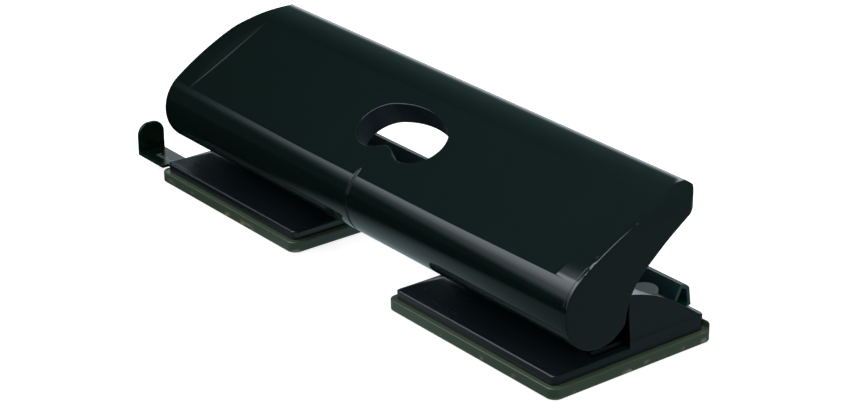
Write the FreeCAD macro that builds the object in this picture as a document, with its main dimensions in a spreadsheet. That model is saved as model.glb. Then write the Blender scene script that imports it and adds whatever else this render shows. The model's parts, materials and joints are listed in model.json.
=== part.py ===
import FreeCAD, Part
import Sketcher
import math
import os
import re

# Desk punch for four holes: two identical punch units under one long handle, tied by a rail.
# Millimetres, +Z up, +X to the right seen from the paper side, which faces -Y.
# Working heights and depths are counted from the desk and from the trays' front face; the
# finished pieces are placed so that the origin is the bottom centre of the whole machine.

Vector = FreeCAD.Vector
doc = FreeCAD.newDocument("DeskPunch")
sheet = doc.addObject("Spreadsheet::Sheet", "dims")

sizes = {
    # hole pattern
    "holePitch": 80.0,          # between neighbouring holes
    "holeMargin": 12.0,         # from the paper's edge to the hole centres
    "pinRadius": 2.75,
    "runningGap": 0.05,         # radial clearance of pins and axles
    "slidingGap": 0.1,          # between flat sliding faces
    "freeGap": 0.3,             # between pieces that must never touch
    # chip trays
    "trayLength": 98.2,
    "trayDepth": 79.4,
    "trayRim": 4.5,
    "trayLip": 2.4,              # raised rear edge of the tray
    "trayLipSheet": 1.4,
    "trayFloor": 1.4,
    "trayWall": 3.4,
    "trayRound": 4.0,
    # base covers
    "coverInset": 2.3,
    "coverWall": 1.4,
    "coverRound": 2.6,
    "coverRearRound": 3.2,
    "shoulderHeight": 8.3,
    "shoulderRound": 1.0,
    "tableHeight": 10.8,        # top of the die leg and of the paper ramp
    "crestDepth": 18.5,
    "crestInset": 8.3,          # from the cover's end to the top of its end slope
    "roofFront": 29.4,
    "roofCurve": 70.0,
    "kneeInset": 12.9,          # of the flat slope under the rail, from the cover's rear
    "kneeHeight": 18.8,
    "heelHeight": 9.6,
    "heelRound": 3.0,
    "roofDraft": 1.5,
    "sideShoulder": 11.2,
    "postRadius": 2.8,
    "postAcross": 24.0,
    "postFront": 52.6,
    "postRearInset": 9.3,
    # punch frames and base plates
    "frameSheet": 1.8,
    "frameHalf": 43.6,
    "frameFront": 22.6,
    "frameWaist": 41.5,
    "frameBend": 1.6,
    "guideFront": 25.4,
    "slotHeight": 4.5,
    "plateSheet": 1.5,
    "plateHalf": 42.9,
    "plateInset": 6.1,
    "earAcross": 29.0,
    "earRadius": 5.2,
    "earRoot": 17.4,            # along the frame's top leg
    "rivetRadius": 1.6,
    "rivetHead": 3.0,
    "rivetAcross": 22.0,
    # handle pivot and press mechanism
    "axisDepth": 20.6,
    "axisHeight": 31.4,
    "axleRadius": 2.5,
    "clipRadius": 4.4,
    "clipSheet": 0.8,
    "pressTravel": 37.0,        # degrees from rest to the buffers
    "rodReach": 14.5,           # from the handle's axis to the press rod
    "rodRadius": 2.0,
    "rodHalf": 47.5,
    "headRadius": 3.9,
    "headSheet": 1.6,
    "washerRadius": 4.1,
    "washerSheet": 0.8,
    "notchDepth": 1.2,
    "springWire": 0.4,          # radius of the wire
    "springCoil": 3.6,          # radius of the coil's centre line
    "springTurns": 6.0,
    # handle
    "handleHalf": 130.0,
    "endSheet": 2.0,
    "skin": 2.2,
    "lobeRadius": 16.4,
    "rollAngle": 125.4,         # where the rolled front turns into the arched top
    "lipAngle": 282.0,          # lower end of the rolled front
    "noseDepth": 64.6,
    "noseHeight": 62.4,
    "noseRadius": 5.0,
    "noseBlock": 8.0,
    "cornerPlan": 8.6,
    "cornerTop": 10.5,
    "cheekBow": 177.0,          # radius of the hollowed underside
    "cheekCrook": 24.0,         # radius of the waist below it
    "cheekWaist": 14.5,         # from the axle to the waist
    "cheekHip": 5.0,            # radius between the waist and the rolled front
    "cheekNose": 301.4,         # where the hollow leaves the nose
    "creaseAngle": 132.0,       # front edge of the flat top panel
    "panelTilt": 26.8,
    "panelHalf": 117.8,
    "panelSink": 1.75,
    "ribSheet": 2.5,
    "innerRib": 33.0,
    "outerRib": 46.2,
    "ribBoss": 5.5,             # round the axle
    "ribEye": 3.6,              # round the press rod
    "ribLean": 9.0,             # from the press rod to the rear of the ribs
    "stopRibDepth": 49.4,
    "stopRibSheet": 2.0,
    "stopRibHeight": 47.8,
    "endRound": 1.0,
    "seamRound": 0.5,
    "grooveWidth": 1.2,
    "grooveSink": 0.6,
    # sight hole, in the plane of the top panel
    "sightStart": 12.9,         # from the panel's front edge
    "sightAcross": 11.4,
    "sightLobe": 11.9,
    "sightBump": 4.1,
    "sightRear": 26.3,
    "sightRim": 10.2,
    "sightWall": 1.8,
    # buffers
    "bufferAcross": 38.6,
    "bufferInset": 24.0,        # of the buffers, from the cover's rear
    "bufferRadius": 4.9,
    "bufferTop": 25.8,
    "bufferSeat": 18.6,
    "bufferRound": 0.6,
    # tie rail
    "railHalf": 122.9,
    "railWall": 1.5,
    "railFoot": 9.4,            # along the slope
    "railRise": 5.7,
    "railTop": 3.4,
    "railDrop": 1.2,            # of its top towards the rear
    "railPost": 2.4,
    "railPostAcross": 33.5,
    # screws
    "screwShank": 1.25,
    "screwHead": 2.5,
    "screwCap": 1.4,
    "screwBite": 6.0,
    # paper guide
    "guideReach": 148.8,        # of the stop's outer face, from the machine's centre
    "guideEdge": 1.4,
    "guideBack": 14.2,
    "bladeEdge": 4.6,
    "guideSheet": 1.3,
    "guideShoulder": 129.4,
    "guideInner": 50.0,
    "tabSheet": 1.6,
    "tabHeight": 18.9,
    "tabRound": 5.4,
    "keeperSheet": 1.2,
    "keeperLeft": 40.0,
    "keeperRight": 20.0,
    "keeperBack": 20.2,
    "keeperPost": 17.6,
    "keeperAcross": 6.0,
}
for row, (alias, size) in enumerate(sizes.items(), 1):
    sheet.set("A%d" % row, alias)
    sheet.set("B%d" % row, str(size))
    sheet.setAlias("B%d" % row, alias)
doc.recompute()


# depths that follow from other sizes
derived = {
    "mouthDepth": "(axisDepth + rodReach * (1 + cos(pressTravel / 2)) / 2 + washerRadius + slidingGap)",
    "kneeDepth": "(trayDepth - coverInset - kneeInset)",
    "postRear": "(trayDepth - coverInset - postRearInset)",
    "plateRear": "(trayDepth - coverInset - plateInset)",
    "bufferDepth": "(trayDepth - coverInset - bufferInset)",
}


def spelled(expression):
    return re.sub(r"[A-Za-z]\w*", lambda word: derived.get(word.group(), word.group()), expression)


def value(expression):
    return float(sheet.evalExpression(spelled(expression)))


def bound(expression):
    expression = spelled(expression)
    prefixed = lambda word: "dims." + word.group() if word.group() in sizes else word.group()
    return re.sub(r"[A-Za-z]\w*", prefixed, expression)


# Shared places, as expressions of the sheet's sizes
shiftX = "(guideReach - handleHalf) / 2"
shiftY = "-trayDepth / 2"
coverHalf = "(trayLength / 2 - coverInset)"
coverRear = "(trayDepth - coverInset)"
dieBottom = "(tableHeight - frameSheet)"
plateBottom = "(tableHeight - frameSheet - plateSheet)"
slotTop = "(tableHeight + slotHeight)"
legTop = "(tableHeight + slotHeight + frameSheet)"
rodDepth = "(axisDepth + rodReach * cos(pressTravel / 2))"
rodHeight = "(axisHeight + rodReach * sin(pressTravel / 2))"
pinDepth = "(axisDepth + rodReach * (1 + cos(pressTravel / 2)) / 2)"
stopDepth = pinDepth + " + holeMargin"
pinTop = rodHeight + " - rodRadius - freeGap"
bladeBottom = "(trayRim + slidingGap)"
roofSlope = "atan((kneeHeight - heelHeight) / (%s - kneeDepth))" % coverRear
roofDrop, roofRun = "(roofFront - kneeHeight)", "(kneeDepth - mouthDepth)"
roofSpan = "sqrt(%s ^ 2 + %s ^ 2)" % (roofDrop, roofRun)
roofRise = "sqrt(roofCurve ^ 2 - (%s / 2) ^ 2)" % roofSpan
roofCentreDepth = "((mouthDepth + kneeDepth) / 2 - %s / %s * %s)" % (roofDrop, roofSpan, roofRise)
roofCentreHeight = "((roofFront + kneeHeight) / 2 - %s / %s * %s)" % (roofRun, roofSpan, roofRise)
units = (("left", -1), ("right", 1))


def roofHeight(depth, below):
    # height of the housing's curved roof over one depth, measured a little below its surface
    reach = "(roofCurve - (%s))" % below
    return "%s + sqrt(%s ^ 2 - (%s - %s) ^ 2)" % (roofCentreHeight, reach, depth, roofCentreDepth)


def slopeHeight(depth, below):
    # the same for the flat slope behind the knee
    return "kneeHeight - (%s - kneeDepth) * tan(%s) - %s / cos(%s)" % (depth, roofSlope, below, roofSlope)


def place(piece, x="0", depth="0"):
    piece.setExpression("Placement.Base.x", bound(shiftX + " + " + x))
    piece.setExpression("Placement.Base.y", bound(shiftY + " + " + depth))


# ---- helpers for bodies made of sketches ----

def newBody(name):
    body = doc.addObject("PartDesign::Body", name)
    body.Label = name
    return body


def newSketch(body, role, offset):
    sketch = body.newObject("Sketcher::SketchObject", body.Name + "Sketch")
    plane = next(feature for feature in body.Origin.OriginFeatures if feature.Role == role)
    sketch.AttachmentSupport = [(plane, "")]
    sketch.MapMode = "FlatFace"
    sketch.setExpression("AttachmentOffset.Base.z", bound(offset))
    return sketch


def bindPoint(sketch, geometry, end, across, up):
    for kind, expression in (("DistanceX", across), ("DistanceY", up)):
        constraint = Sketcher.Constraint(kind, geometry, end, value(expression))
        index = sketch.addConstraint(constraint)
        sketch.setExpression("Constraints[%d]" % index, bound(expression))


def bindRadius(sketch, geometry, radius):
    index = sketch.addConstraint(Sketcher.Constraint("Radius", geometry, abs(value(radius))))
    sketch.setExpression("Constraints[%d]" % index, bound("abs(%s)" % radius))


def arcBetween(start, stop, radius):
    # positive radius: counterclockwise from start to stop, never more than half a turn
    chord = stop - start
    rise = math.sqrt(max(radius ** 2 - chord.Length ** 2 / 4, 0))
    side = Vector(-chord.y, chord.x, 0).normalize()
    centre = (start + stop) / 2 + side * math.copysign(rise, radius)
    first, last = (start, stop) if radius > 0 else (stop, start)
    circle = Part.Circle(centre, Vector(0, 0, 1), abs(radius))
    angles = [math.atan2(point.y - centre.y, point.x - centre.x) for point in (first, last)]
    return Part.ArcOfCircle(circle, *angles)


def outline(body, role, offset, corners):
    # corners run counterclockwise; a third entry is the radius of the arc that ends there
    sketch = newSketch(body, role, offset)
    points = [Vector(value(corner[0]), value(corner[1]), 0) for corner in corners]
    edges = []
    for index, corner in enumerate(corners):
        start, stop = points[index - 1], points[index]
        if len(corner) == 2:
            edges.append((sketch.addGeometry(Part.LineSegment(start, stop), False), 1, 2))
            continue
        radius = value(corner[2])
        geometry = sketch.addGeometry(arcBetween(start, stop, radius), False)
        edges.append((geometry, 1, 2) if radius > 0 else (geometry, 2, 1))
        bindRadius(sketch, geometry, corner[2])
    for index, (geometry, first, last) in enumerate(edges):
        follower, followerStart, followerEnd = edges[(index + 1) % len(edges)]
        joint = Sketcher.Constraint("Coincident", geometry, last, follower, followerStart)
        sketch.addConstraint(joint)
        bindPoint(sketch, geometry, last, corners[index][0], corners[index][1])
    return sketch


def circles(body, role, offset, radius, centres):
    sketch = newSketch(body, role, offset)
    for across, up in centres:
        centre = Vector(value(across), value(up), 0)
        geometry = sketch.addGeometry(Part.Circle(centre, Vector(0, 0, 1), value(radius)), False)
        bindRadius(sketch, geometry, radius)
        bindPoint(sketch, geometry, 3, across, up)
    return sketch


def pad(body, sketch, length):
    feature = body.newObject("PartDesign::Pad", body.Name + "Pad")
    feature.Profile = sketch
    feature.setExpression("Length", bound(length))
    doc.recompute()
    return feature


def pocket(body, sketch, length):
    # cuts along the sketch's own normal, from its plane outwards
    before = body.Shape.Volume
    feature = body.newObject("PartDesign::Pocket", body.Name + "Pocket")
    feature.Profile = sketch
    feature.Reversed = True
    feature.setExpression("Length", bound(length))
    doc.recompute()
    if not body.Shape.Volume < before:
        raise RuntimeError("a pocket in %s cuts nothing" % body.Name)
    return feature


def centred(length):
    return "-(%s) / 2" % length


# ---- helpers for shapes made directly ----

def section(corners):
    # a flat face in the plane X = 0 from (y, z) corners with the same rule for arcs
    points = [Vector(corner[0], corner[1], 0) for corner in corners]
    edges = []
    for index, corner in enumerate(corners):
        start, stop = points[index - 1], points[index]
        if len(corner) == 2:
            edges.append(Part.LineSegment(start, stop).toShape())
        else:
            edges.append(arcBetween(start, stop, corner[2]).toShape())
    face = Part.Face(Part.Wire(Part.__sortEdges__(edges)))
    face.rotate(Vector(), Vector(1, 1, 1), 120)
    return face


def prism(face, low, high):
    moved = face.copy()
    moved.translate(Vector(low, 0, 0))
    return moved.extrude(Vector(high - low, 0, 0))


def rodAlongX(radius, low, high, depth, height):
    return Part.makeCylinder(radius, high - low, Vector(low, depth, height), Vector(1, 0, 0))


def polar(centre, radius, degrees):
    angle = math.radians(degrees)
    return (centre[0] + radius * math.cos(angle), centre[1] + radius * math.sin(angle))


def addShape(name, shape, x="0", depth="0"):
    piece = doc.addObject("Part::Feature", name)
    piece.Label = name
    piece.Shape = shape
    place(piece, x, depth)
    return piece


# ---- chip trays ----

def chipTray(name, x):
    body = newBody(name)
    half, far, near = "trayLength / 2", "trayDepth", "trayRound"
    rounded = [
        ("%s - %s" % (half, near), "0"), (half, near, near),
        (half, "%s - %s" % (far, near)), ("%s - %s" % (half, near), far, near),
        ("%s - %s" % (near, half), far), ("-" + half, "%s - %s" % (far, near), near),
        ("-" + half, near), ("%s - %s" % (near, half), "0", near)]
    pad(body, outline(body, "XY_Plane", "0", rounded), "trayRim + trayLip")
    front = [("-trayLength", "-trayRim"), ("trayLength", "-trayRim"),
             ("trayLength", "trayDepth - trayLipSheet"), ("-trayLength", "trayDepth - trayLipSheet")]
    pocket(body, outline(body, "XY_Plane", "trayRim", front), "trayLip + 1")
    inner = [("-(trayLength / 2 - trayWall)", "trayWall"), ("trayLength / 2 - trayWall", "trayWall"),
             ("trayLength / 2 - trayWall", "trayDepth - trayWall"),
             ("-(trayLength / 2 - trayWall)", "trayDepth - trayWall")]
    pocket(body, outline(body, "XY_Plane", "trayFloor", inner), "trayRim")
    place(body, x)
    return body


# ---- base covers ----

def coverBody(name, x, hasGuide):
    body = newBody(name)
    wide = "2 * " + coverHalf
    ramp = [
        ("coverInset", "trayRim"), (coverRear, "trayRim"), (coverRear, "tableHeight"),
        ("crestDepth", "tableHeight"), ("coverInset + shoulderRound", "shoulderHeight"),
        ("coverInset", "shoulderHeight - shoulderRound", "shoulderRound")]
    pad(body, outline(body, "YZ_Plane", centred(wide), ramp), wide)
    for side in ("", "-"):
        slope = [(coverHalf, "shoulderHeight - shoulderRound"),
                 (coverHalf + " + 2", "shoulderHeight - shoulderRound"),
                 (coverHalf + " + 2", "tableHeight + 1"),
                 (coverHalf + " - crestInset", "tableHeight + 1"),
                 (coverHalf + " - crestInset", "tableHeight"),
                 (coverHalf + " - shoulderRound", "shoulderHeight")]
        slope[0] = slope[0] + ("-shoulderRound",)
        cutEnd(body, slope, side, "0", "mouthDepth")
    roof = [
        ("mouthDepth", "trayRim"), (coverRear, "trayRim"), (coverRear, "heelHeight - heelRound"),
        (coverRear + " - heelRound", "heelHeight + heelRound * 0.649", "heelRound * 1.4"),
        ("kneeDepth", "kneeHeight"), ("mouthDepth", "roofFront", "roofCurve")]
    pad(body, outline(body, "YZ_Plane", centred(wide), roof), wide)
    for side in ("", "-"):
        draft = [(coverHalf, "sideShoulder - shoulderRound", "-shoulderRound"),
                 (coverHalf + " + 2", "sideShoulder - shoulderRound"),
                 (coverHalf + " + 2", "roofFront + 1"), (coverHalf + " - roofDraft", "roofFront + 1"),
                 (coverHalf + " - shoulderRound * 0.7", "sideShoulder")]
        cutEnd(body, draft, side, "mouthDepth", coverRear + " + 1")
    roundCorners(body)
    hollowCover(body)
    addPosts(body, hasGuide)
    if hasGuide:
        slot = [("bladeEdge - freeGap", "trayRim"), ("guideBack + freeGap", "trayRim"),
                ("guideBack + freeGap", bladeBottom + " + guideSheet + freeGap"),
                ("bladeEdge - freeGap", bladeBottom + " + guideSheet + freeGap")]
        pocket(body, outline(body, "YZ_Plane", "-%s - 1" % coverHalf, slot), "coverWall + 2")
    place(body, x)
    return body


def cutEnd(body, corners, side, near, far):
    # an end slope, cut over a stretch of the depth; the XZ plane's normal points to -Y
    if side == "-":
        corners = reversedCorners([("-(%s)" % corner[0],) + corner[1:] for corner in corners])
    sketch = outline(body, "XZ_Plane", "-(%s)" % far, corners)
    pocket(body, sketch, "%s - (%s)" % (far, near))


def reversedCorners(corners):
    # the same outline run the other way: each arc's radius moves to the corner it started from
    turned = []
    for index in range(len(corners) - 1, -1, -1):
        follower = corners[(index + 1) % len(corners)]
        extra = ("-(%s)" % follower[2],) if len(follower) == 3 else ()
        turned.append(tuple(corners[index][:2]) + extra)
    return turned


def roundCorners(body):
    for across in (1, -1):
        for rear in (False, True):
            edge = coverRear if rear else "coverInset"
            bend = "coverRearRound" if rear else "coverRound"
            inward = ("-" if rear else "") + bend
            outward = "1" if rear else "-1"
            corner = [("%d * (%s - %s)" % (across, coverHalf, bend), edge),
                      ("%d * %s" % (across, coverHalf), "%s + %s" % (edge, inward)),
                      ("%d * (%s + 1)" % (across, coverHalf), "%s + %s" % (edge, inward)),
                      ("%d * (%s + 1)" % (across, coverHalf), "%s + %s" % (edge, outward)),
                      ("%d * (%s - %s)" % (across, coverHalf, bend), "%s + %s" % (edge, outward))]
            turning = 1 if (across > 0) != rear else -1
            corner[1] = corner[1] + ("%d * %s" % (turning, bend),)
            if turning < 0:
                corner = reversedCorners(corner)
            pocket(body, outline(body, "XY_Plane", "trayRim - 1", corner), "roofFront + 2")


def hollowCover(body):
    inside = "(%s - coverWall)" % coverHalf
    low = [(("coverInset + coverWall"), "trayRim - 1"), ("mouthDepth + 1", "trayRim - 1"),
           ("mouthDepth + 1", "shoulderHeight - coverWall"),
           ("coverInset + coverWall", "shoulderHeight - coverWall")]
    pocket(body, outline(body, "YZ_Plane", "-" + inside, low), "2 * " + inside)
    under = "(%s - crestInset)" % coverHalf
    high = [("coverInset + coverWall", "trayRim"), ("mouthDepth + 1", "trayRim"),
            ("mouthDepth + 1", "tableHeight - coverWall"), ("crestDepth", "tableHeight - coverWall"),
            ("coverInset + coverWall", "shoulderHeight - coverWall")]
    pocket(body, outline(body, "YZ_Plane", "-" + under, high), "2 * " + under)
    room = "(%s - roofDraft - coverWall)" % coverHalf
    vault = [("mouthDepth - 1", "trayRim - 1"), (coverRear + " - coverWall", "trayRim - 1"),
             (coverRear + " - coverWall", slopeHeight(coverRear + " - coverWall", "coverWall")),
             ("kneeDepth", slopeHeight("kneeDepth", "coverWall")),
             ("kneeDepth - coverWall / 2", roofHeight("(kneeDepth - coverWall / 2)", "coverWall")),
             ("mouthDepth - 1", roofHeight("(mouthDepth - 1)", "coverWall"), "roofCurve - coverWall")]
    pocket(body, outline(body, "YZ_Plane", "-" + room, vault), "2 * " + room)
    side, front = "(frameHalf + freeGap)", "frameFront - freeGap"
    well = [("-" + side, front), (side, front), (side, "mouthDepth"), ("-" + side, "mouthDepth")]
    pocket(body, outline(body, "XY_Plane", "trayRim - 1", well), "roofFront")


def addPost(body, across, depth, half, low, height):
    # a square post that ends in the middle of the roof's thickness
    front, rear = "(%s - (%s))" % (depth, half), "(%s + %s)" % (depth, half)
    corners = [(front, low), (rear, low), (rear, height(rear, "coverWall / 2")),
               (front, height(front, "coverWall / 2"))]
    if height is roofHeight:
        corners[3] = corners[3] + ("roofCurve - coverWall / 2",)
    pad(body, outline(body, "YZ_Plane", "%s - (%s)" % (across, half), corners), "2 * (%s)" % half)


def addPosts(body, hasGuide):
    for side in (1, -1):
        across = "%d * postAcross" % side
        addPost(body, across, "postFront", "postRadius", dieBottom, roofHeight)
        addPost(body, across, "postRear", "postRadius", dieBottom, slopeHeight)
        addPost(body, "%d * bufferAcross" % side, "bufferDepth", "bufferRadius + coverWall",
                "bufferSeat - coverWall", roofHeight)
    pocket(body, circles(body, "XY_Plane", dieBottom + " - 1", "screwShank", postSpots()), "screwBite + 1")
    seats = [(side + "bufferAcross", "bufferDepth") for side in ("", "-")]
    pocket(body, circles(body, "XY_Plane", "bufferSeat", "bufferRadius + runningGap", seats), "roofFront")
    if hasGuide:
        for across in ("-keeperLeft + keeperAcross / 2", "-keeperRight - keeperAcross / 2"):
            half = "(postRadius - freeGap)"
            foot = [("%s - %s" % (across, half), "keeperPost - " + half),
                    ("%s + %s" % (across, half), "keeperPost - " + half),
                    ("%s + %s" % (across, half), "keeperPost + " + half),
                    ("%s - %s" % (across, half), "keeperPost + " + half)]
            pad(body, outline(body, "XY_Plane", "trayRim", foot), "tableHeight - coverWall - trayRim + 0.1")
        pocket(body, circles(body, "XY_Plane", "trayRim - 1", "screwShank", keeperSpots()),
               "tableHeight - coverWall - trayRim + 0.5")
    railScrewHoles(body)


def railScrewHoles(body):
    # clearance holes through the flat slope, square to it
    sketch = newSketch(body, "XY_Plane", "0")
    tilt = roofSlope
    foot = "(railFoot / 2)"
    sketch.setExpression("AttachmentOffset.Base.y", bound("kneeDepth + %s * cos(%s)" % (foot, tilt)))
    sketch.setExpression("AttachmentOffset.Base.z", bound("kneeHeight - %s * sin(%s)" % (foot, tilt)))
    offset = FreeCAD.Rotation(Vector(1, 0, 0), -value(tilt))
    sketch.AttachmentOffset = FreeCAD.Placement(sketch.AttachmentOffset.Base, offset)
    for side in (1, -1):
        across = "%d * railPostAcross" % side
        centre = Vector(value(across), 0, 0)
        geometry = sketch.addGeometry(Part.Circle(centre, Vector(0, 0, 1), 1), False)
        bindRadius(sketch, geometry, "screwShank + slidingGap")
        bindPoint(sketch, geometry, 3, across, "0")
    feature = body.newObject("PartDesign::Pocket", body.Name + "RailHoles")
    feature.Profile = sketch
    feature.setExpression("Length", bound("coverWall * 2"))
    doc.recompute()
    return feature


# ---- punch frames, base plates and their fasteners ----

def punchFrame(name, x):
    body = newBody(name)
    rear = "(%s + frameSheet)" % stopDepth
    profile = [
        ("frameFront", dieBottom), (rear + " - frameBend", dieBottom),
        (rear, dieBottom + " + frameBend", "frameBend"), (rear, legTop + " - frameBend"),
        (rear + " - frameBend", legTop, "frameBend"), ("guideFront", legTop),
        ("guideFront", slotTop), (stopDepth, slotTop), (stopDepth, "tableHeight"),
        ("frameFront", "tableHeight")]
    pad(body, outline(body, "YZ_Plane", "-frameHalf", profile), "2 * frameHalf")
    for side in (1, -1):
        near, far = "%d * frameWaist" % side, "%d * (frameHalf + 1)" % side
        waist = [(near, "mouthDepth - freeGap * 3"), (far, "mouthDepth - freeGap * 3"),
                 (far, rear + " + 1"), (near, rear + " + 1")]
        if side < 0:
            waist = reversedCorners(waist)
        pocket(body, outline(body, "XY_Plane", "0", waist), "roofFront")
    for side in (1, -1):
        start = "%d * earAcross - frameSheet / 2" % side
        root, rootRear = legTop + " - frameSheet / 2", "guideFront + earRoot"
        neck = [("axisDepth - earRadius * 0.3", "axisHeight - earRadius * 0.9"),
                ("guideFront + 1.2", root), (rootRear, root), (rootRear, legTop),
                ("axisDepth + rodReach * 0.78", "axisHeight - rodReach * 0.53"),
                ("axisDepth + earRadius * 0.8", "axisHeight + earRadius * 0.4")]
        pad(body, outline(body, "YZ_Plane", start, neck), "frameSheet")
        pivot = [("axisDepth", "axisHeight")]
        pad(body, circles(body, "YZ_Plane", start, "earRadius", pivot), "frameSheet")
        bore = circles(body, "YZ_Plane", start + " - 1", "axleRadius + runningGap / 2", pivot)
        pocket(body, bore, "frameSheet + 2")
    pins = [(side + "holePitch / 2", pinDepth) for side in ("", "-")]
    pocket(body, circles(body, "XY_Plane", "0", "pinRadius + runningGap", pins), "roofFront")
    pocket(body, circles(body, "XY_Plane", "0", "rivetRadius", rivetSpots()), "tableHeight + 1")
    place(body, x)
    return body


def rivetSpots():
    depths = ("frameFront + 5", stopDepth + " - 3")
    return [(side + "rivetAcross", depth) for side in ("", "-") for depth in depths]


def postSpots():
    return [(side + "postAcross", depth) for side in ("", "-") for depth in ("postFront", "postRear")]


def basePlate(name, x):
    body = newBody(name)
    room = "(%s - roofDraft - coverWall - freeGap)" % coverHalf
    flat = [("-plateHalf", "frameFront"), ("plateHalf", "frameFront"),
            ("plateHalf", "mouthDepth"), (room, "mouthDepth"), (room, "plateRear"),
            ("-" + room, "plateRear"), ("-" + room, "mouthDepth"), ("-plateHalf", "mouthDepth")]
    pad(body, outline(body, "XY_Plane", plateBottom, flat), "plateSheet")
    pins = [(side + "holePitch / 2", pinDepth) for side in ("", "-")]
    # chips fall through the plate under the frame's die holes
    pocket(body, circles(body, "XY_Plane", "0", "pinRadius + runningGap * 2", pins), "roofFront")
    pocket(body, circles(body, "XY_Plane", "0", "rivetRadius", rivetSpots()), "roofFront")
    pocket(body, circles(body, "XY_Plane", "0", "screwShank + slidingGap", postSpots()), "roofFront")
    place(body, x)
    return body


def turned(profile):
    # a solid of revolution about Z from (radius, height) corners
    points = [Vector(radius, 0, height) for radius, height in profile]
    return Part.Face(Part.makePolygon(points + points[:1])).revolve(Vector(), Vector(0, 0, 1), 360)


def rivets():
    shank, head = value("rivetRadius"), value("rivetHead")
    low, top = value(plateBottom), value("tableHeight")
    cap = head / 3
    shapes = []
    for across, depth in rivetSpots():
        rivet = turned([(0, low - cap), (head * 0.8, low - cap), (head, low - cap * 0.6), (head, low),
                        (shank, low), (shank, top), (0, top)])
        rivet.translate(Vector(value(across), value(depth), 0))
        shapes.append(rivet)
    return Part.makeCompound(shapes)


def screw(grip):
    # a pan-head screw that points up, its head's underside at height zero
    head, shank, cap = value("screwHead"), value("screwShank"), value("screwCap")
    body = turned([(0, -cap), (head * 0.75, -cap), (head, -cap * 0.45), (head, 0), (shank, 0),
                   (shank, grip - shank / 2), (shank / 2, grip), (0, grip)])
    slot = Part.makeBox(head * 1.3, cap * 0.4, cap, Vector(-head * 0.65, -cap * 0.2, -cap * 1.5))
    cross = slot.copy()
    cross.rotate(Vector(), Vector(0, 0, 1), 90)
    return body.cut(slot).cut(cross)


def plateScrews():
    shapes = []
    for across, depth in postSpots():
        shape = screw(value("plateSheet + screwBite - 0.5"))
        shape.translate(Vector(value(across), value(depth), value(plateBottom)))
        shapes.append(shape)
    return Part.makeCompound(shapes)


# ---- pins, washers and springs ----

def punchPin(name, x):
    body = newBody(name)
    tip = "(%s + freeGap)" % slotTop
    half = [("0", tip), ("pinRadius", tip), ("pinRadius", pinTop + " - headSheet"),
            ("headRadius", pinTop + " - headSheet"), ("headRadius", pinTop + " - freeGap"),
            ("headRadius - freeGap", pinTop), ("0", pinTop)]
    sketch = outline(body, "XZ_Plane", "0", half)
    feature = body.newObject("PartDesign::Revolution", name + "Turned")
    feature.Profile = sketch
    feature.ReferenceAxis = (sketch, ["V_Axis"])
    feature.Angle = 360
    doc.recompute()
    mouth = tip + " - notchDepth * 0.1"
    notch = [("-pinRadius * 1.1", mouth), ("pinRadius * 1.1", mouth), ("0", tip + " + notchDepth")]
    pocket(body, outline(body, "YZ_Plane", "-pinRadius - 1", notch), "2 * pinRadius + 2")
    place(body, x, pinDepth)
    return body


def pinWasher(name, x):
    top = value(pinTop + " - headSheet")
    outer, inner = value("washerRadius"), value("pinRadius + runningGap")
    low = top - value("washerSheet")
    ring = turned([(inner, low), (outer, low), (outer, top), (inner, top)])
    return addShape(name, ring, x, pinDepth)


def returnSpring(name, x):
    wire, coil = value("springWire"), value("springCoil")
    low = value(legTop) + wire
    high = value(pinTop + " - headSheet - washerSheet") - wire
    turns = value("springTurns")
    helix = Part.makeHelix((high - low) / turns, high - low, coil)
    start = helix.Vertexes[0].Point
    circle = Part.Wire(Part.makeCircle(wire, start, Vector(0, 1, 0)))
    coilSolid = Part.Wire(helix).makePipeShell([circle], True, True)
    coilSolid.translate(Vector(0, 0, low))
    return addShape(name, coilSolid, x, pinDepth)


# ---- axles, clips and press rods ----

def crossBar(name, x, radius, half, depth, height):
    bar = doc.addObject("Part::Cylinder", name)
    bar.Label = name
    bar.setExpression("Radius", bound(radius))
    bar.setExpression("Height", bound("2 * (%s)" % half))
    bar.Placement = FreeCAD.Placement(Vector(), FreeCAD.Rotation(Vector(0, 1, 0), 90))
    place(bar, "%s - (%s)" % (x, half), depth)
    bar.setExpression("Placement.Base.z", bound(height))
    return bar


def axleClips(name, x):
    outer, inner = value("clipRadius"), value("axleRadius + runningGap / 2")
    sheetWidth = value("clipSheet")
    near = value("innerRib + ribSheet / 2 + slidingGap")
    depth, height = value("axisDepth"), value("axisHeight")
    shapes = []
    for low in (near, -near - sheetWidth):
        ring = rodAlongX(outer, low, low + sheetWidth, depth, height)
        shapes.append(ring.cut(rodAlongX(inner, low - 1, low + sheetWidth + 1, depth, height)))
    return addShape(name, Part.makeCompound(shapes), x)


# ---- handle ----

axis = (value("axisDepth"), value("axisHeight"))
nose = (value("noseDepth"), value("noseHeight"))
lobe = value("lobeRadius")


def archRadius():
    # the arc that touches the rolled front at its roll angle and the nose, both from outside
    roll = polar((0, 0), 1, value("rollAngle"))
    gap = (nose[0] - axis[0], nose[1] - axis[1])
    along = gap[0] * roll[0] + gap[1] * roll[1]
    step = lobe - value("noseRadius")
    reach = (gap[0] ** 2 + gap[1] ** 2 - step ** 2) / (2 * (step - along))
    return reach + lobe


archSpan = archRadius()
archCentre = polar(axis, archSpan - lobe, value("rollAngle") + 180)
noseRoll = math.degrees(math.atan2(nose[1] - archCentre[1], nose[0] - archCentre[0]))


def crossing(one, oneReach, other, otherReach):
    # the point at these distances from two centres, to the left of the way from one to the other
    apart = math.dist(one, other)
    along = (apart ** 2 + oneReach ** 2 - otherReach ** 2) / (2 * apart)
    return polar(one, oneReach, bearing(one, other) + math.degrees(math.acos(along / oneReach)))


def bearing(start, stop):
    return math.degrees(math.atan2(stop[1] - start[1], stop[0] - start[0]))


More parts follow.
